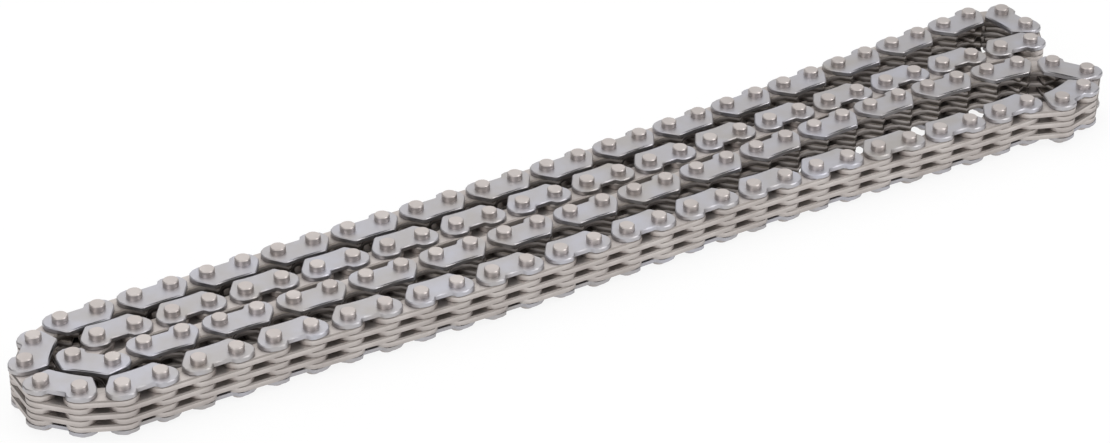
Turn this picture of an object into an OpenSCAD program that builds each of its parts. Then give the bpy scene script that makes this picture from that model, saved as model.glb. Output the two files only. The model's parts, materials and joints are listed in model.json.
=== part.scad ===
// Silent timing chain, an endless loop of inverted-tooth links folded in four runs and laid on its side.
// The pins stand upright, the guide plates are the outermost layers, and the loop rests on the pin ends.

/* [Chain] */
// Distance between neighbouring pin axes, mm
pitch = 6.35; // [5:0.05:9.6]
// Diameter of a pin, in pitches
pin_ratio = 0.41; // [0.34:0.005:0.43]
// Length of a pin that stands out of each guide plate, mm
pin_proud = 1; // [0.4:0.05:1.4]
// Bevel on the rim of each pin end, mm
pin_bevel = 0.15; // [0.05:0.01:0.3]

/* [Stack] */
// Thickness of a guide plate, mm
guide_thick = 0.75; // [0.5:0.05:1.2]
// Thickness of a toothed link plate, mm
link_thick = 1.03; // [0.6:0.01:1.5]
// Free space between neighbouring plates along the pin, mm
side_play = 0.06; // [0.03:0.01:0.15]
// Radial clearance of a toothed plate on its pin, mm
pin_clear = 0.06; // [0.04:0.01:0.09]

/* [Guide plate] */
// Radius of the two back lobes, in pitches
lobe_ratio = 0.368; // [0.34:0.002:0.37]
// Distance of a lobe's middle from its pin, out along the plate, in pitches
lobe_out_ratio = 0.067; // [0.04:0.001:0.068]
// Distance of a lobe's middle from the pin line, towards the back, in pitches
lobe_up_ratio = 0.037; // [0.02:0.001:0.038]
// Height of the dip between the lobes above the pin line, in pitches
dip_ratio = 0.24; // [0.2:0.01:0.3]
// Distance from the pin line to the tooth-side edge, in pitches
edge_ratio = 0.575; // [0.5:0.005:0.58]
// Half width of the tooth-side edge, in pitches
corner_ratio = 0.575; // [0.52:0.005:0.58]
// Hollow of the tooth-side edge, in pitches
hollow_ratio = 0.035; // [0.01:0.005:0.06]
// Straight piece at each end of the hollow, in pitches
corner_flat_ratio = 0.05; // [0.03:0.005:0.08]

/* [Toothed plate] */
// Radius of the plate ends and height of the straight back, in pitches
end_ratio = 0.4; // [0.36:0.005:0.405]
// Radius of the two back corners, in pitches
back_corner_ratio = 0.24; // [0.15:0.01:0.3]
// Distance from the pin line to the tip of a tooth, in pitches
tooth_ratio = 0.575; // [0.5:0.005:0.58]
// Distance of a tooth tip from the middle of the plate, in pitches
tip_ratio = 0.515; // [0.5:0.005:0.52]
// Radius of a tooth tip, in pitches
tip_round_ratio = 0.07; // [0.04:0.005:0.08]
// Distance from the pin line to the top of the crotch, in pitches
crotch_ratio = 0.21; // [0.15:0.01:0.26]

/* [Hidden] */
$fn = 64;

// Toothed plates across the chain: odd layers belong to the guide links, even ones to the inner links.
layers = 5;
guide_row = [1, 3];
inner_row = [0, 2, 4];

// Fold of the loop, in pitches and degrees: the first pin and heading of each run,
// then stretches of [links, turn per pin], going clockwise round the loop with the teeth inside.
back_start = [-14.36, 2.11];
back_heading = -1.08;
back_bow = [[10, -0.145], [9, 0.454], [10, 0.178]];
mid_back_start = [15.03, 0.06];
mid_back_heading = 172.07;
mid_back_bow = [[4, 2.155], [8, 0.24], [9, -0.315], [8, -0.015]];
mid_front_start = [-13.16, 0.04];
mid_front_heading = -4;
mid_front_bow = [[4, 0.05], [9, 0.325], [9, 0.388], [5, -2.24]];
front_start = [12.52, -2.655];
front_heading = 179.5;
front_bow = [[4, -1.555], [8, 0.593], [9, -0.515], [6, 0.605]];

// Share of the turn taken by each free pin in the bends: rear, tuck, nose and left.
rear_share = [-1.9, -1];
tuck_share = [1.77, 1];
nose_share = [-0.8, -2.09, -0.81, -1];
left_share = [-0.82, -1.49, -1.175, -1];

function unit(a) = [cos(a), sin(a)];
function turned(v, a) = [v[0] * cos(a) - v[1] * sin(a), v[0] * sin(a) + v[1] * cos(a)];
function bearing(v) = atan2(v[1], v[0]);

// Pins of a run: one link after the other, the heading turning at every pin.
function run_turns(bow) = [for (s = bow) for (k = [1:s[0]]) s[1]];
function run_pins(start, heading, turns) =
  [for (i = 0, p = start, h = heading;
        i <= len(turns);
        p = p + unit(h), h = h + (i + 1 < len(turns) ? turns[i + 1] : 0), i = i + 1) p];

// Pins of a bend of free links, laid from the origin along +x, for a given size of turn.
function bend_pins(share, k) =
  [for (i = 0, p = [0, 0], h = 0;
        i <= len(share) + 1;
        p = p + unit(h), h = h + (i < len(share) ? k * share[i] : 0), i = i + 1) p];
function bend_span(share, k) = norm(bend_pins(share, k)[len(share) + 1]);
function share_sum(share, i = 0) = i < len(share) ? abs(share[i]) + share_sum(share, i + 1) : 0;
// Size of turn at which the bend just spans the distance between two run ends.
function bend_turn(share, span, low, high, steps) =
  let (mid = (low + high) / 2)
  steps == 0 ? mid
  : bend_span(share, mid) > span ? bend_turn(share, span, mid, high, steps - 1)
  : bend_turn(share, span, low, mid, steps - 1);
// Free pins of the bend between the last pin of one run and the first pin of the next.
function bend(from, to, share) =
  let (k = bend_turn(share, norm(to - from), 0, 342 / share_sum(share), 50))
  let (pins = bend_pins(share, k))
  let (a = bearing(to - from) - bearing(pins[len(pins) - 1]))
  [for (i = [1:len(share)]) from + turned(pins[i], a)];

back_pins_at = run_pins(back_start, back_heading, run_turns(back_bow));
mid_back_pins_at = run_pins(mid_back_start, mid_back_heading, run_turns(mid_back_bow));
mid_front_pins_at = run_pins(mid_front_start, mid_front_heading, run_turns(mid_front_bow));
front_pins_at = run_pins(front_start, front_heading, run_turns(front_bow));
function last(v) = v[len(v) - 1];
rear_pins_at = bend(last(back_pins_at), mid_back_pins_at[0], rear_share);
tuck_pins_at = bend(last(mid_back_pins_at), mid_front_pins_at[0], tuck_share);
nose_pins_at = bend(last(mid_front_pins_at), front_pins_at[0], nose_share);
left_pins_at = bend(last(front_pins_at), back_pins_at[0], left_share);

// The whole loop, pin after pin: even links carry guide plates, odd links lie between them.
loop = concat(back_pins_at, rear_pins_at, mid_back_pins_at, tuck_pins_at,
              mid_front_pins_at, nose_pins_at, front_pins_at, left_pins_at);
count = len(loop);
function pin_at(i) = loop[i % count];
function link_mid(i) = (pin_at(i) + pin_at(i + 1)) / 2;
function link_angle(i) = bearing(pin_at(i + 1) - pin_at(i));

// First pin of each stretch of the loop.
rear_first = len(back_pins_at);
mid_back_first = rear_first + len(rear_pins_at);
tuck_first = mid_back_first + len(mid_back_pins_at);
mid_front_first = tuck_first + len(tuck_pins_at);
nose_first = mid_front_first + len(mid_front_pins_at);
front_first = nose_first + len(nose_pins_at);
left_first = front_first + len(front_pins_at);

// Plate sizes in mm.
half = pitch / 2;
pin_radius = pitch * pin_ratio / 2;
bore_radius = pin_radius + pin_clear;
lobe_radius = pitch * lobe_ratio;
lobe_at = [half + pitch * lobe_out_ratio, pitch * lobe_up_ratio];
dip = pitch * dip_ratio;
edge = pitch * edge_ratio;
corner = pitch * corner_ratio;
hollow = pitch * hollow_ratio;
corner_flat = pitch * corner_flat_ratio;
// The dip bites a little into the lobes, so that they meet at a clear edge.
neck_bite = pitch * 0.002;
end_radius = pitch * end_ratio;
plate_end = half + end_radius;
back_corner = pitch * back_corner_ratio;
tooth = pitch * tooth_ratio;
tip_x = pitch * tip_ratio;
tip_round = pitch * tip_round_ratio;
tip_y = tooth - tip_round;
crotch = pitch * crotch_ratio;

// Heights in mm, from the lower pin ends up.
lower_guide_z = pin_proud;
layer_step = link_thick + side_play;
first_layer_z = lower_guide_z + guide_thick + side_play;
upper_guide_z = first_layer_z + layers * layer_step;
pin_length = upper_guide_z + guide_thick + pin_proud;

// Middle of the laid-out loop, from the rounds that bound every plate, so that it stands over the origin.
plate_rounds = [[half, 0, end_radius], [-half, 0, end_radius],
                [plate_end - back_corner, end_radius - back_corner, back_corner],
                [back_corner - plate_end, end_radius - back_corner, back_corner],
                [tip_x, -tip_y, tip_round], [-tip_x, -tip_y, tip_round]];
guide_rounds = [[lobe_at[0], lobe_at[1], lobe_radius], [-lobe_at[0], lobe_at[1], lobe_radius],
                [corner, -edge, 0], [-corner, -edge, 0]];
function rounds_of(i) = i % 2 == 0 ? concat(plate_rounds, guide_rounds) : plate_rounds;
function spot(i, r) = pitch * link_mid(i) + turned([r[0], r[1]], link_angle(i));
reach_high = [for (d = [0, 1]) max([for (i = [0:count - 1]) for (r = rounds_of(i)) spot(i, r)[d] + r[2]])];
reach_low = [for (d = [0, 1]) min([for (i = [0:count - 1]) for (r = rounds_of(i)) spot(i, r)[d] - r[2]])];
middle = (reach_high + reach_low) / 2;

// Tangent point on a round of radius r1 at the origin, of the outer tangent to a round r2 at v.
function tangent(r1, v, r2, side) = r1 * unit(bearing(v) + side * acos((r1 - r2) / norm(v)));

// Places a plate on link i, its pins on the link's pins and its back away from the teeth.
module on_link(i) {
  translate(pitch * link_mid(i) - middle)
    rotate(link_angle(i))
      children();
}

module two_bores(r) {
  for (x = [-half, half])
    translate([x, 0])
      circle(r);
}

// Guide plate: two lobes round the pins, a dip between them, and a tapered body with a hollow edge.
module guide_outline() {
  low = dip - lobe_at[1];
  dip_round = (lobe_at[0] * lobe_at[0] + low * low - lobe_radius * lobe_radius) / (2 * (lobe_radius - low));
  neck = lobe_at + lobe_radius * unit(bearing([-lobe_at[0], low + dip_round]));
  flank = lobe_at + tangent(lobe_radius, [corner, -edge] - lobe_at, 0, 1);
  hollow_half = corner - corner_flat;
  hollow_round = (hollow_half * hollow_half + hollow * hollow) / (2 * hollow);
  difference() {
    union() {
      for (s = [-1, 1])
        translate([s * lobe_at[0], lobe_at[1]])
          circle(lobe_radius);
      polygon([[-flank[0], flank[1]], [-corner, -edge], [corner, -edge], flank,
               lobe_at, neck, [-neck[0], neck[1]], [-lobe_at[0], lobe_at[1]]]);
    }
    translate([0, dip + dip_round + neck_bite])
      circle(dip_round + neck_bite);
    translate([0, hollow - edge - hollow_round])
      circle(hollow_round);
    two_bores(pin_radius);
  }
}

// Toothed plate: straight back with rounded corners, tapered flanks, two teeth and an arched crotch.
module link_outline() {
  flank_top = [half, 0] + tangent(end_radius, [tip_x - half, -tip_y], tip_round, 1);
  flank_tip = [tip_x, -tip_y] + tip_round * unit(bearing(flank_top - [half, 0]));
  tip_in = tip_x - tip_round;
  crotch_round = (tip_in * tip_in + (tip_y - crotch) * (tip_y - crotch)) / (2 * (tip_y - crotch));
  difference() {
    union() {
      two_bores(end_radius);
      for (s = [-1, 1]) {
        translate([s * (plate_end - back_corner), end_radius - back_corner])
          circle(back_corner);
        translate([s * tip_x, -tip_y])
          circle(tip_round);
      }
      polygon([[back_corner - plate_end, end_radius], [plate_end - back_corner, end_radius],
               [plate_end, end_radius - back_corner], [plate_end, 0], [half, 0], flank_top, flank_tip,
               [tip_x, -tooth], [-tip_x, -tooth], [-flank_tip[0], flank_tip[1]],
               [-flank_top[0], flank_top[1]], [-half, 0], [-plate_end, 0],
               [-plate_end, end_radius - back_corner]]);
    }
    translate([0, -crotch - crotch_round])
      circle(crotch_round);
    two_bores(bore_radius);
  }
}

// One pin with bevelled rims.
module pin_solid() {
  rotate_extrude()
    polygon([[0, 0], [pin_radius - pin_bevel, 0], [pin_radius, pin_bevel],
             [pin_radius, pin_length - pin_bevel], [pin_radius - pin_bevel, pin_length], [0, pin_length]]);
}

// Parts of a stretch of n links that starts at pin i.
module guides(i, n) {
  color([0.74, 0.73, 0.75])
    for (k = [i:2:i + n - 1])
      for (z = [lower_guide_z, upper_guide_z])
        translate([0, 0, z])
          linear_extrude(guide_thick)
            on_link(k)
              guide_outline();
}

module plates(i, n, row) {
  color([0.68, 0.66, 0.66])
    for (k = [i:2:i + n - 1])
      for (layer = row)
        translate([0, 0, first_layer_z + layer * layer_step])
          linear_extrude(link_thick)
            on_link(k)
              link_outline();
}

module pins(i, n) {
  color([0.72, 0.67, 0.65])
    for (k = [i:i + n - 1])
      translate(pitch * pin_at(k) - middle)
        pin_solid();
}

// Long straight runs, from the back of the fold to the front.
back_links = rear_first - 1;
mid_back_links = tuck_first - mid_back_first - 1;
mid_front_links = nose_first - mid_front_first - 1;
front_links = left_first - front_first - 1;

module back_guides() { guides(0, back_links); }
module back_pins() { pins(0, back_links + 1); }
module back_guide_row() { plates(0, back_links, guide_row); }
module back_inner_row() { plates(1, back_links - 2, inner_row); }

module mid_back_guides() { guides(mid_back_first, mid_back_links); }
module mid_back_pins() { pins(mid_back_first, mid_back_links + 1); }
module mid_back_guide_row() { plates(mid_back_first, mid_back_links, guide_row); }
module mid_back_inner_row() { plates(mid_back_first + 1, mid_back_links - 2, inner_row); }

module mid_front_guides() { guides(mid_front_first, mid_front_links); }
module mid_front_pins() { pins(mid_front_first, mid_front_links + 1); }
module mid_front_guide_row() { plates(mid_front_first, mid_front_links, guide_row); }
module mid_front_inner_row() { plates(mid_front_first + 1, mid_front_links - 2, inner_row); }

module front_guides() { guides(front_first, front_links); }
module front_pins() { pins(front_first, front_links + 1); }
module front_guide_row() { plates(front_first, front_links, guide_row); }
module front_inner_row() { plates(front_first + 1, front_links - 2, inner_row); }

// Rear bend, between the two back runs at the right.
module rear1_plates() { plates(rear_first - 1, 1, inner_row); }
module rear2_guides() { guides(rear_first, 1); }
module rear2_pins() { pins(rear_first, 2); }
module rear2_plates() { plates(rear_first, 1, guide_row); }
module rear3_plates() { plates(rear_first + 1, 1, inner_row); }

// Tuck, the tight backward bend inside the left end.
module tuck1_plates() { plates(tuck_first - 1, 1, inner_row); }
module tuck2_guides() { guides(tuck_first, 1); }
module tuck2_pins() { pins(tuck_first, 2); }
module tuck2_plates() { plates(tuck_first, 1, guide_row); }
module tuck3_plates() { plates(tuck_first + 1, 1, inner_row); }

// Nose, the bend between the two front runs at the right.
module nose1_plates() { plates(nose_first - 1, 1, inner_row); }
module nose2_guides() { guides(nose_first, 1); }
module nose2_pins() { pins(nose_first, 2); }
module nose2_plates() { plates(nose_first, 1, guide_row); }
module nose3_plates() { plates(nose_first + 1, 1, inner_row); }
module nose4_guides() { guides(nose_first + 2, 1); }
module nose4_pins() { pins(nose_first + 2, 2); }
module nose4_plates() { plates(nose_first + 2, 1, guide_row); }
module nose5_plates() { plates(nose_first + 3, 1, inner_row); }

// Left bend, the wide end that closes the loop.
module left1_plates() { plates(left_first - 1, 1, inner_row); }
module left2_guides() { guides(left_first, 1); }
module left2_pins() { pins(left_first, 2); }
module left2_plates() { plates(left_first, 1, guide_row); }
module left3_plates() { plates(left_first + 1, 1, inner_row); }
module left4_guides() { guides(left_first + 2, 1); }
module left4_pins() { pins(left_first + 2, 2); }
module left4_plates() { plates(left_first + 2, 1, guide_row); }
module left5_plates() { plates(left_first + 3, 1, inner_row); }

back_guides();
back_pins();
back_guide_row();
back_inner_row();
mid_back_guides();
mid_back_pins();
mid_back_guide_row();
mid_back_inner_row();
mid_front_guides();
mid_front_pins();
mid_front_guide_row();
mid_front_inner_row();
front_guides();
front_pins();
front_guide_row();
front_inner_row();
rear1_plates();
rear2_guides();
rear2_pins();
rear2_plates();
rear3_plates();
tuck1_plates();
tuck2_guides();
tuck2_pins();
tuck2_plates();
tuck3_plates();
nose1_plates();
nose2_guides();
nose2_pins();
nose2_plates();
nose3_plates();
nose4_guides();
nose4_pins();
nose4_plates();
nose5_plates();
left1_plates();
left2_guides();
left2_pins();
left2_plates();
left3_plates();
left4_guides();
left4_pins();
left4_plates();
left5_plates();
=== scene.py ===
import json
import math
import bpy
from mathutils import Matrix, Vector


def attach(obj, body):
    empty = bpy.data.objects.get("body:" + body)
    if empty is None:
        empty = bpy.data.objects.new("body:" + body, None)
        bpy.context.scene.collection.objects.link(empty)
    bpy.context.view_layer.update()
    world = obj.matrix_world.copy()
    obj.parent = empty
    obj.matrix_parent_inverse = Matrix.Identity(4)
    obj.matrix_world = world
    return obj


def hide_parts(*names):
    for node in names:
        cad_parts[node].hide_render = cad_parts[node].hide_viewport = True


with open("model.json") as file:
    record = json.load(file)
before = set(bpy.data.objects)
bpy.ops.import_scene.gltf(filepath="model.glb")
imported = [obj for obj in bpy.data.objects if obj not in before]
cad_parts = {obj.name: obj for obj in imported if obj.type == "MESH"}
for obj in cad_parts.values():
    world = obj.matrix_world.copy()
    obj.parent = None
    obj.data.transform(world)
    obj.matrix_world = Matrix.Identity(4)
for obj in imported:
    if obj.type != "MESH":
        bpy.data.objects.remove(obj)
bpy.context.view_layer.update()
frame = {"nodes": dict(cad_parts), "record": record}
bpy.ops.object.select_all(action="DESELECT")
print("frame loaded,", len(frame["nodes"]), "nodes")

mm = 0.001
tiny = 0.001 * mm  # closer than this is the same place
chain = {"pitch": 6.35 * mm, "pinLength": 9.01 * mm, "lowerGuide": 1.0 * mm, "upperGuide": 7.26 * mm,
         "firstLayer": 1.81 * mm, "layerStep": 1.09 * mm, "weld": 0.004 * mm, "softAngle": 40}
half = chain["pitch"] / 2

# the loop in order of travel: way says how a straight run lies, 0 is a pair of pins in a bend
loopOrder = [("back", 1), ("rear2", 0), ("mid_back", -1), ("tuck2", 0), ("mid_front", 1),
             ("nose2", 0), ("nose4", 0), ("front", -1), ("left2", 0), ("left4", 0)]


def pinSpots(node):  # axis of every pin in a CAD node, from its rim points
    groups = []
    for spot in {(round(v.co.x, 6), round(v.co.y, 6)) for v in frame["nodes"][node].data.vertices}:
        near = [g for g in groups if math.hypot(g[0][0] - spot[0], g[0][1] - spot[1]) < half]
        if near:
            near[0].append(spot)
        else:
            groups.append([spot])
    middles = []
    for g in groups:
        across, along = [p[0] for p in g], [p[1] for p in g]
        middles.append(Vector(((min(across) + max(across)) / 2, (min(along) + max(along)) / 2, 0)))
    return middles


def readLoop():
    loop, first, count = [], {}, {}
    for name, way in loopOrder:
        spots = pinSpots(name + "_pins")
        if way:
            spots.sort(key=lambda p: way * p.x)
        else:
            spots.sort(key=lambda p: (p - loop[-1]).length)
        first[name], count[name] = len(loop), len(spots)
        loop += spots
    return loop, first, count


loop, firstPin, pinCount = readLoop()
print("loop read,", len(loop), "pins")


def linkPlace(i, z):  # matrix of the plate on link i, its back to the left of travel
    a, b = loop[i % len(loop)], loop[(i + 1) % len(loop)]
    middle = (a + b) / 2
    turn = math.atan2(b.y - a.y, b.x - a.x)
    return Matrix.Translation((middle.x, middle.y, z)) @ Matrix.Rotation(turn, 4, "Z")


# drawing outlines by hand: one point, spun round centres and pulled along lines
pen = Vector((0, 0, 0))


def onlyThis(obj):
    bpy.ops.object.select_all(action="DESELECT")
    obj.select_set(True)
    bpy.context.view_layer.objects.active = obj


def startOutline(name, x, y):
    bpy.ops.object.select_all(action="DESELECT")
    bpy.ops.mesh.primitive_plane_add(size=chain["pitch"], location=(0, 0, 0))
    obj = bpy.context.object
    obj.name = name
    bpy.ops.object.mode_set(mode="EDIT")
    bpy.ops.mesh.select_mode(type="VERT")
    bpy.ops.mesh.select_all(action="SELECT")
    bpy.ops.mesh.merge(type="CENTER")
    bpy.ops.transform.translate(value=(x, y, 0))
    pen.x, pen.y = x, y
    return obj


def arc(cx, cy, degrees, steps):  # counted anticlockwise
    bpy.ops.mesh.spin(steps=steps, angle=-math.radians(degrees), center=(cx, cy, 0), axis=(0, 0, 1))
    turned = Matrix.Rotation(math.radians(degrees), 3, "Z") @ Vector((pen.x - cx, pen.y - cy, 0))
    pen.x, pen.y = cx + turned.x, cy + turned.y


def line(x, y):
    bpy.ops.mesh.extrude_region_move(TRANSFORM_OT_translate={"value": (x - pen.x, y - pen.y, 0)})
    pen.x, pen.y = x, y


def pullUp(thick):  # closes the outline, fills it and gives it its thickness
    bpy.ops.mesh.select_all(action="SELECT")
    bpy.ops.mesh.remove_doubles(threshold=chain["weld"])
    bpy.ops.mesh.edge_face_add()
    bpy.ops.mesh.select_all(action="SELECT")
    bpy.ops.mesh.extrude_region_move(TRANSFORM_OT_translate={"value": (0, 0, thick)})
    bpy.ops.mesh.select_all(action="SELECT")
    bpy.ops.mesh.normals_make_consistent(inside=False)
    bpy.ops.object.mode_set(mode="OBJECT")


def roundEdges(obj, wanted, size, steps):  # bevels the edges whose two ends pass the test
    bpy.ops.object.mode_set(mode="EDIT")
    bpy.ops.mesh.select_mode(type="EDGE")
    bpy.ops.mesh.select_all(action="DESELECT")
    bpy.ops.object.mode_set(mode="OBJECT")
    for e in obj.data.edges:
        a, b = (obj.data.vertices[k].co for k in e.vertices)
        e.select = wanted(a, b)
    bpy.ops.object.mode_set(mode="EDIT")
    bpy.ops.mesh.bevel(offset=size, segments=steps, affect="EDGES")
    bpy.ops.object.mode_set(mode="OBJECT")


def roundRim(obj, z, size):
    roundEdges(obj, lambda a, b: abs(a.z - z) < tiny and abs(b.z - z) < tiny, size, 1)


def drill(obj, radius, thick, sides):
    for x in (-half, half):
        bpy.ops.object.select_all(action="DESELECT")
        bpy.ops.mesh.primitive_cylinder_add(vertices=sides, radius=radius, depth=3 * thick,
                                            location=(x, 0, thick / 2))
        cutter = bpy.context.object
        onlyThis(obj)
        bore = obj.modifiers.new("bore", "BOOLEAN")
        bore.operation, bore.solver, bore.object = "DIFFERENCE", "EXACT", cutter
        bpy.ops.object.modifier_apply(modifier="bore")
        bpy.data.objects.remove(cutter)


def softShade(obj):
    onlyThis(obj)
    bpy.ops.object.shade_smooth_by_angle(angle=math.radians(chain["softAngle"]))


def markFaces(obj, name, amount):  # a value for every face corner, from its face's tilt and its own place
    marks = obj.data.attributes.new(name, "FLOAT", "CORNER")
    for face in obj.data.polygons:
        for k in face.loop_indices:
            spot = obj.data.vertices[obj.data.loops[k].vertex_index].co
            marks.data[k].value = amount(abs(face.normal.z), spot)


# guide plate: two lobes, a notch between them, tapered flanks and a hollow lower edge
guidePlate = {"thick": 0.75 * mm, "lobe": 2.3368 * mm, "lobeOut": 0.42545 * mm, "lobeUp": 0.23495 * mm,
              "dip": 1.524 * mm, "crown": 2.6035 * mm, "shoulder": 0.9525 * mm, "fillet": 0.3175 * mm,
              "edge": 3.65125 * mm, "corner": 3.65125 * mm, "flat": 0.3175 * mm, "hollow": 0.22225 * mm,
              "bore": 1.30175 * mm, "rim": 0.15 * mm, "cornerRound": 0.3 * mm, "lobeSteps": 5,
              "shoulderSteps": 2, "filletSteps": 1, "hollowSteps": 4, "cornerSteps": 2, "boreSides": 8}


def makeGuidePlate():
    s = guidePlate
    x, y = half + s["lobeOut"], s["lobeUp"]
    top = y + s["lobe"]
    shoulderY, filletY = top - s["shoulder"], s["dip"] + s["fillet"]
    sideways = math.sqrt((s["shoulder"] + s["fillet"]) ** 2 - (filletY - shoulderY) ** 2)
    notchTurn = math.degrees(math.atan2(filletY - shoulderY, -sideways)) - 90
    filletX = s["crown"] - sideways
    reach = math.hypot(s["corner"] - x, s["edge"] + y)
    flankTurn = math.degrees(math.atan2(-s["edge"] - y, s["corner"] - x) + math.acos(s["lobe"] / reach))
    wide = s["corner"] - s["flat"]
    hollowRound = (wide ** 2 + s["hollow"] ** 2) / (2 * s["hollow"])
    hollowTurn = 2 * math.degrees(math.asin(wide / hollowRound))
    a = math.radians(flankTurn)
    plate = startOutline("guidePlate", x + s["lobe"] * math.cos(a), y + s["lobe"] * math.sin(a))
    arc(x, y, 90 - flankTurn, s["lobeSteps"])
    line(s["crown"], top)
    arc(s["crown"], shoulderY, notchTurn, s["shoulderSteps"])
    arc(filletX, filletY, -notchTurn, s["filletSteps"])
    line(-filletX, s["dip"])
    arc(-filletX, filletY, -notchTurn, s["filletSteps"])
    arc(-s["crown"], shoulderY, notchTurn, s["shoulderSteps"])
    line(-x, top)
    arc(-x, y, 90 - flankTurn, s["lobeSteps"])
    line(-s["corner"], -s["edge"])
    line(-wide, -s["edge"])
    arc(0, s["hollow"] - s["edge"] - hollowRound, -hollowTurn, s["hollowSteps"])
    line(s["corner"], -s["edge"])
    pullUp(s["thick"])

    def lowerCorner(p, q):  # upright edges at the two lower corners
        return abs(p.z - q.z) > s["thick"] / 2 and abs(abs(p.x) - s["corner"]) < tiny and p.y < -half

    roundEdges(plate, lowerCorner, s["cornerRound"], s["cornerSteps"])
    roundRim(plate, s["thick"], s["rim"])
    drill(plate, s["bore"], s["thick"], s["boreSides"])
    softShade(plate)
    return plate


# toothed plate: straight back, ends round about the pins, two teeth and an arched crotch
toothedPlate = {"thick": 1.03 * mm, "end": 2.54 * mm, "tooth": 3.65125 * mm, "tip": 3.27025 * mm,
                "tipRound": 0.4445 * mm, "crotch": 1.3335 * mm, "bore": 1.36175 * mm, "rim": 0.22 * mm,
                "endSteps": 6, "tipSteps": 2, "crotchSteps": 5, "boreSides": 6,
                # how much painted shade lies on the chamfers between plates, on the back and towards the
                # teeth
                "seamShade": 0.55, "backShade": 0.15, "toothShade": 0.9, "shadeRise": 1.6, "tornAndShadeTop": 0.8,
                "wallTilt": 0.2, "flatTilt": 0.95}


def makeToothedPlate():
    s = toothedPlate
    tipY = s["tooth"] - s["tipRound"]
    reach = math.hypot(s["tip"] - half, tipY)
    a = math.atan2(-tipY, s["tip"] - half) + math.acos((s["end"] - s["tipRound"]) / reach)
    flank, flankTurn = Vector((math.cos(a), math.sin(a))), math.degrees(a)
    tipIn, rise = s["tip"] - s["tipRound"], tipY - s["crotch"]
    crotchRound = (tipIn ** 2 + rise ** 2) / (2 * rise)
    crotchY = -s["crotch"] - crotchRound
    crotchTurn = 2 * math.degrees(math.atan2(tipIn, -tipY - crotchY))
    plate = startOutline("toothedPlate", half + s["end"] * flank.x, s["end"] * flank.y)
    arc(half, 0, 90 - flankTurn, s["endSteps"])
    line(-half, s["end"])
    arc(-half, 0, 90 - flankTurn, s["endSteps"])
    line(-s["tip"] - s["tipRound"] * flank.x, -tipY + s["tipRound"] * flank.y)
    arc(-s["tip"], -tipY, 180 + flankTurn, s["tipSteps"])
    arc(0, crotchY, -crotchTurn, s["crotchSteps"])
    arc(s["tip"], -tipY, 180 + flankTurn, s["tipSteps"])
    pullUp(s["thick"])
    roundRim(plate, s["thick"], s["rim"])
    drill(plate, s["bore"], s["thick"], s["boreSides"])

    def paintedShadeAt(tilt, spot):  # painted shade: most in the seams, and more towards the teeth
        inward = min(max(-s["shadeRise"] * spot.y / s["tooth"], 0), 1)
        back = s["seamShade"] if s["wallTilt"] < tilt < s["flatTilt"] else s["backShade"]
        return back + (s["toothShade"] - back) * inward

    def tornAndShadeAt(tilt, spot):  # the punched wall is bright above and torn below, and the painted shade on it grows darker towards the bottom
        return 1 - spot.z / (s["thick"] - s["rim"]) if tilt < s["wallTilt"] else s["tornAndShadeTop"]

    # painted shade on the toothed plates: dark in the seams and towards the teeth
    markFaces(plate, "paintedShade", paintedShadeAt)
    # how far down each wall the painted shade reaches: darker towards the bottom
    markFaces(plate, "tornAndShade", tornAndShadeAt)
    softShade(plate)
    return plate


# pin: a plain round with turned-over rims
pinBar = {"radius": 1.30175 * mm, "rim": 0.15 * mm, "sides": 16}


def makePin():
    bpy.ops.object.select_all(action="DESELECT")
    length = chain["pinLength"]
    bpy.ops.mesh.primitive_cylinder_add(vertices=pinBar["sides"], radius=pinBar["radius"], depth=length,
                                        location=(0, 0, length / 2))
    bar = bpy.context.object
    bar.name = "pinBar"
    bpy.ops.object.transform_apply(location=True, rotation=True, scale=True)
    for z in (0, length):
        roundRim(bar, z, pinBar["rim"])
    softShade(bar)
    return bar


guideMaster, toothedMaster, pinMaster = makeGuidePlate(), makeToothedPlate(), makePin()
for master in (guideMaster, toothedMaster, pinMaster):
    print(master.name, "modelled,", len(master.data.polygons), "faces")


# sums in a node tree: each side is a socket or a number
def mathNode(tree, operation, a, b):
    node = tree.nodes.new("ShaderNodeMath")
    node.operation = operation
    for k, value in enumerate((a, b)):
        if isinstance(value, (int, float)):
            node.inputs[k].default_value = value
        else:
            tree.links.new(value, node.inputs[k])
    return node.outputs[0]


def plus(tree, a, b):
    return mathNode(tree, "ADD", a, b)


def minus(tree, a, b):
    return mathNode(tree, "SUBTRACT", a, b)


def times(tree, a, b):
    return mathNode(tree, "MULTIPLY", a, b)


def larger(tree, a, b):
    return mathNode(tree, "MAXIMUM", a, b)


# satin skin of tumbled parts: fine pits, soft clouds, a tone for every plate and a dark brown painted shade
skinLook = {"fine": 2600.0, "fineDetail": 3.0, "cloud": 190.0, "cloudDetail": 2.0,
            "tornAndShadeFrom": 0.25, "tornAndShadeTo": 0.7, "cloudLow": 0.3, "cloudGain": 1.75, "toneGain": 0.3,
            # the last colour is the dark brown of the painted shade
            "pitDepth": 0.05 * mm, "paintedShade": (0.09, 0.075, 0.06)}


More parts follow.
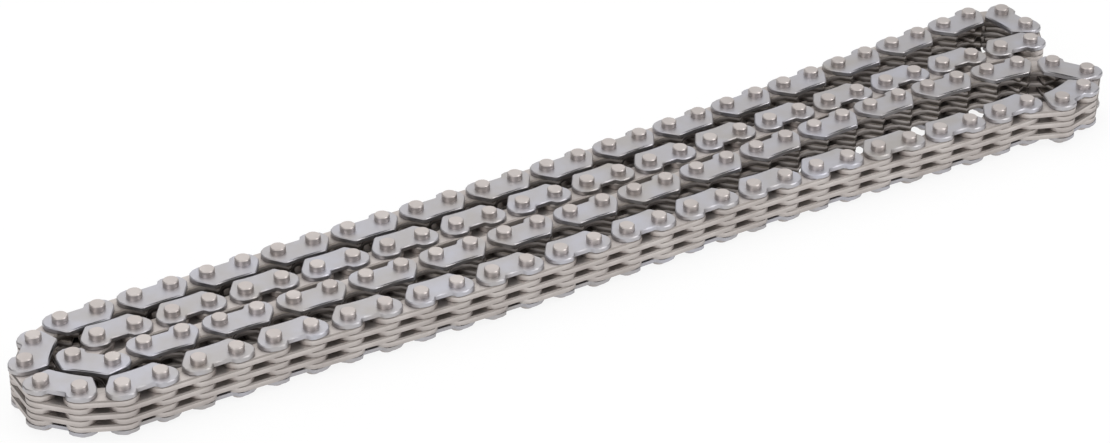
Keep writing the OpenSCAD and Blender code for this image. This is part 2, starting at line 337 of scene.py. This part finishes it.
def makeSkinAndShadeGroup():
    s = skinLook
    group = bpy.data.node_groups.new("skinAndShade", "ShaderNodeTree")
    for label, scale in (("Fine", s["fine"]), ("Cloud", s["cloud"])):
        socket = group.interface.new_socket(label, in_out="INPUT", socket_type="NodeSocketFloat")
        socket.default_value = scale
    for label in ("Pits", "Clouds", "Tone", "PaintedShade"):
        group.interface.new_socket(label, in_out="OUTPUT", socket_type="NodeSocketFloat")
    take, give = group.nodes.new("NodeGroupInput"), group.nodes.new("NodeGroupOutput")
    spot = group.nodes.new("ShaderNodeTexCoord")
    for label, detail, result in (("Fine", s["fineDetail"], "Pits"), ("Cloud", s["cloudDetail"], "Clouds")):
        noise = group.nodes.new("ShaderNodeTexNoise")
        noise.inputs["Detail"].default_value = detail
        group.links.new(spot.outputs["Object"], noise.inputs["Vector"])
        group.links.new(take.outputs[label], noise.inputs["Scale"])
        group.links.new(noise.outputs["Fac"], give.inputs[result])
    marks = {}
    for label in ("plateTone", "paintedShade", "tornAndShade"):
        reader = group.nodes.new("ShaderNodeAttribute")
        reader.attribute_name = label
        marks[label] = reader.outputs["Fac"]
    group.links.new(marks["plateTone"], give.inputs["Tone"])
    # the painted shade, kept off the upper part of each wall
    step = group.nodes.new("ShaderNodeMapRange")
    step.interpolation_type = "SMOOTHSTEP"
    step.inputs["From Min"].default_value = s["tornAndShadeFrom"]
    step.inputs["From Max"].default_value = s["tornAndShadeTo"]
    group.links.new(marks["tornAndShade"], step.inputs["Value"])
    group.links.new(times(group, marks["paintedShade"], step.outputs["Result"]), give.inputs["PaintedShade"])
    return group


skinAndShade = makeSkinAndShadeGroup()
finishes = {
    "guide_steel": {"dark": (0.44, 0.415, 0.395), "light": (0.50, 0.50, 0.55),
                    "rough": 0.42, "spread": 0.10, "pits": 0.05},
    "link_steel": {"dark": (0.50, 0.455, 0.435), "light": (0.69, 0.645, 0.62),
                   "rough": 0.52, "spread": 0.12, "pits": 0.06},
    "pin_steel": {"dark": (0.50, 0.455, 0.435), "light": (0.60, 0.555, 0.535),
                  "rough": 0.42, "spread": 0.10, "pits": 0.04},
}


def makeFinish(name):
    s = finishes[name]
    finish = bpy.data.materials.new(name)
    finish.use_nodes = True
    tree = finish.node_tree
    tree.nodes.clear()
    skin = tree.nodes.new("ShaderNodeGroup")
    skin.node_tree = skinAndShade
    colour = tree.nodes.new("ShaderNodeMix")
    colour.data_type = "RGBA"
    colour.inputs["A"].default_value = (*s["dark"], 1)
    colour.inputs["B"].default_value = (*s["light"], 1)
    clouds = times(tree, minus(tree, skin.outputs["Clouds"], skinLook["cloudLow"]), skinLook["cloudGain"])
    mixed = plus(tree, clouds, times(tree, skin.outputs["Tone"], skinLook["toneGain"]))
    mixed.node.use_clamp = True
    tree.links.new(mixed, colour.inputs["Factor"])
    # painted shade: the colour turns dark brown where the shade mask says
    shadeMix = tree.nodes.new("ShaderNodeMix")
    shadeMix.data_type = "RGBA"
    shadeMix.inputs["B"].default_value = (*skinLook["paintedShade"], 1)
    tree.links.new(skin.outputs["PaintedShade"], shadeMix.inputs["Factor"])
    tree.links.new(colour.outputs["Result"], shadeMix.inputs["A"])
    rough = plus(tree, times(tree, skin.outputs["Pits"], s["spread"]), s["rough"] - s["spread"] / 2)
    bump = tree.nodes.new("ShaderNodeBump")
    bump.inputs["Strength"].default_value = s["pits"]
    bump.inputs["Distance"].default_value = skinLook["pitDepth"]
    tree.links.new(skin.outputs["Pits"], bump.inputs["Height"])
    steel = tree.nodes.new("ShaderNodeBsdfPrincipled")
    steel.inputs["Metallic"].default_value = 1.0
    tree.links.new(shadeMix.outputs["Result"], steel.inputs["Base Color"])
    tree.links.new(rough, steel.inputs["Roughness"])
    tree.links.new(bump.outputs["Normal"], steel.inputs["Normal"])
    out = tree.nodes.new("ShaderNodeOutputMaterial")
    tree.links.new(steel.outputs["BSDF"], out.inputs["Surface"])
    return finish


steels = {name: makeFinish(name) for name in finishes}
print("finishes made:", ", ".join(steels))


# the whole chain, one piece for every CAD node
toneKeys = {"upper": 1, "lower": 2, "firstLayer": 3, "pin": 9}  # keeps the tones of a link's pieces apart


def toneOf(i, key):  # steady number from 0 to 1 for a piece of link i
    return (math.sin(12.9898 * (i + 1) + 78.233 * key) * 43758.5453) % 1.0


def copyTo(master, place, tone):
    twin = master.copy()
    twin.data = master.data.copy()
    shade = twin.data.attributes.new("plateTone", "FLOAT", "POINT")
    shade.data.foreach_set("value", [tone] * len(twin.data.vertices))
    twin.matrix_world = place
    bpy.context.collection.objects.link(twin)
    return twin


def lay(node, finish, copies):
    bpy.ops.object.select_all(action="DESELECT")
    for twin in copies:
        twin.select_set(True)
    bpy.context.view_layer.objects.active = copies[0]
    if len(copies) > 1:
        bpy.ops.object.join()
    bpy.ops.object.transform_apply(location=True, rotation=True, scale=True)
    piece = bpy.context.object
    piece.name = "steel_" + node
    piece.data.name = piece.name
    piece.data.materials.clear()
    piece.data.materials.append(steels[finish])
    body = next(b for b, nodes in frame["record"]["behaviour"]["bodies"].items() if node in nodes)
    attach(piece, body)
    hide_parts(node)


def layGuides(node, links):
    turnOver = Matrix.Translation((0, 0, guidePlate["thick"])) @ Matrix.Rotation(math.pi, 4, "Y")
    copies = []
    for i in links:
        upper, lower = linkPlace(i, chain["upperGuide"]), linkPlace(i, chain["lowerGuide"]) @ turnOver
        copies.append(copyTo(guideMaster, upper, toneOf(i, toneKeys["upper"])))
        copies.append(copyTo(guideMaster, lower, toneOf(i, toneKeys["lower"])))
    lay(node, "guide_steel", copies)


def layPlates(node, links, layers):
    copies = []
    for i in links:
        for k in layers:
            place = linkPlace(i, chain["firstLayer"] + k * chain["layerStep"])
            copies.append(copyTo(toothedMaster, place, toneOf(i, toneKeys["firstLayer"] + k)))
    lay(node, "link_steel", copies)


def layPins(node, pins):
    copies = [copyTo(pinMaster, Matrix.Translation(loop[i]), toneOf(i, toneKeys["pin"])) for i in pins]
    lay(node, "pin_steel", copies)


guideLayers, innerLayers = (1, 3), (0, 2, 4)
for run in ("back", "mid_back", "mid_front", "front"):
    f, n = firstPin[run], pinCount[run]
    layGuides(run + "_guides", range(f, f + n - 1, 2))
    layPins(run + "_pins", range(f, f + n))
    layPlates(run + "_guide_row", range(f, f + n - 1, 2), guideLayers)
    layPlates(run + "_inner_row", range(f + 1, f + n - 2, 2), innerLayers)
for bend, links in (("rear", 3), ("tuck", 3), ("nose", 5), ("left", 5)):
    f = firstPin[bend + "2"]
    for k in range(1, links + 1):
        i = f + k - 2
        if k % 2:
            layPlates(f"{bend}{k}_plates", [i], innerLayers)
        else:
            layGuides(f"{bend}{k}_guides", [i])
            layPins(f"{bend}{k}_pins", [i, i + 1])
            layPlates(f"{bend}{k}_plates", [i], guideLayers)
for master in (guideMaster, toothedMaster, pinMaster):
    bpy.data.objects.remove(master)
print("chain laid out")


# stage: pale floor, soft light, camera
stage = {"size": 6, "drop": 0.05 * mm, "floor": (0.93, 0.93, 0.93), "white": 1.0, "keep": 0.12, "mirror": 0.4,
         "fill": 0.9, "across": (0.829, -0.559, 0), "flag": 1.0}


def raysSeen(tree):  # rays from the camera, and rays that come off metal or through glass
    path = tree.nodes.new("ShaderNodeLightPath")
    bounced = larger(tree, path.outputs["Is Glossy Ray"], path.outputs["Is Transmission Ray"])
    return path.outputs["Is Camera Ray"], bounced


def makeFloor():
    bpy.ops.object.select_all(action="DESELECT")
    bpy.ops.mesh.primitive_plane_add(size=stage["size"], location=(0, 0, -stage["drop"]))
    floor = bpy.context.object
    floor.name = "floor"
    paint = bpy.data.materials.new("floorPaint")
    paint.use_nodes = True
    tree = paint.node_tree
    tree.nodes.clear()
    matt = tree.nodes.new("ShaderNodeBsdfDiffuse")
    matt.inputs["Color"].default_value = (*stage["floor"], 1)
    glow = tree.nodes.new("ShaderNodeEmission")
    glow.inputs["Strength"].default_value = stage["white"]
    seen, bounced = raysSeen(tree)
    share = larger(tree, times(tree, seen, 1 - stage["keep"]), times(tree, bounced, stage["mirror"]))
    mix = tree.nodes.new("ShaderNodeMixShader")
    tree.links.new(share, mix.inputs[0])
    tree.links.new(matt.outputs[0], mix.inputs[1])
    tree.links.new(glow.outputs[0], mix.inputs[2])
    out = tree.nodes.new("ShaderNodeOutputMaterial")
    tree.links.new(mix.outputs[0], out.inputs["Surface"])
    floor.data.materials.append(paint)


def makeWorld():  # white, with a dark flag at either side that only the metal shows
    world = bpy.data.worlds.new("studio")
    bpy.context.scene.world = world
    world.use_nodes = True
    sky = world.node_tree
    sky.nodes.clear()
    seen, bounced = raysSeen(sky)
    way = sky.nodes.new("ShaderNodeTexCoord")
    across = sky.nodes.new("ShaderNodeVectorMath")
    across.operation = "DOT_PRODUCT"
    across.inputs[1].default_value = stage["across"]
    sky.links.new(way.outputs["Generated"], across.inputs[0])
    height = sky.nodes.new("ShaderNodeSeparateXYZ")
    sky.links.new(way.outputs["Generated"], height.inputs[0])
    low = minus(sky, 1, times(sky, height.outputs["Z"], height.outputs["Z"]))
    sideways = times(sky, low, times(sky, across.outputs["Value"], across.outputs["Value"]))
    flagged = minus(sky, stage["white"], times(sky, sideways, stage["flag"]))
    unseen = minus(sky, 1, larger(sky, seen, bounced))
    mirrored = plus(sky, times(sky, bounced, flagged), times(sky, unseen, stage["fill"]))
    level = plus(sky, times(sky, seen, stage["white"]), mirrored)
    back = sky.nodes.new("ShaderNodeBackground")
    sky.links.new(level, back.inputs["Strength"])
    out = sky.nodes.new("ShaderNodeOutputWorld")
    sky.links.new(back.outputs[0], out.inputs["Surface"])


lamps = {"top": {"at": (0.05, 0.25, 0.60), "size": 0.5, "watts": 1.2},
         "left": {"at": (-0.55, -0.25, 0.35), "size": 0.3, "watts": 0.8},
         "front": {"at": (0.34, -0.40, 0.50), "size": 0.25, "watts": 0.9}}


def makeLamps():
    for name, s in lamps.items():
        data = bpy.data.lights.new(name, "AREA")
        data.size, data.energy = s["size"], s["watts"]
        lamp = bpy.data.objects.new(name, data)
        lamp.location = s["at"]
        lamp.rotation_euler = (-Vector(s["at"])).to_track_quat("-Z", "Y").to_euler()
        bpy.context.collection.objects.link(lamp)


viewer = {"at": (-256.25 * mm, -367.18 * mm, 269.82 * mm), "look": (0.4807, 0.7126, -0.5109),
          "lens": 102.17, "sensor": 36, "near": 0.01, "far": 20}


def makeCamera():
    data = bpy.data.cameras.new("viewer")
    data.sensor_fit, data.sensor_width, data.lens = "HORIZONTAL", viewer["sensor"], viewer["lens"]
    data.clip_start, data.clip_end = viewer["near"], viewer["far"]
    camera = bpy.data.objects.new("viewer", data)
    camera.location = viewer["at"]
    camera.rotation_euler = Vector(viewer["look"]).to_track_quat("-Z", "Y").to_euler()
    bpy.context.collection.objects.link(camera)
    bpy.context.scene.camera = camera


makeFloor()
makeWorld()
makeLamps()
makeCamera()
bpy.context.scene.view_settings.view_transform = "Standard"
print("stage set")
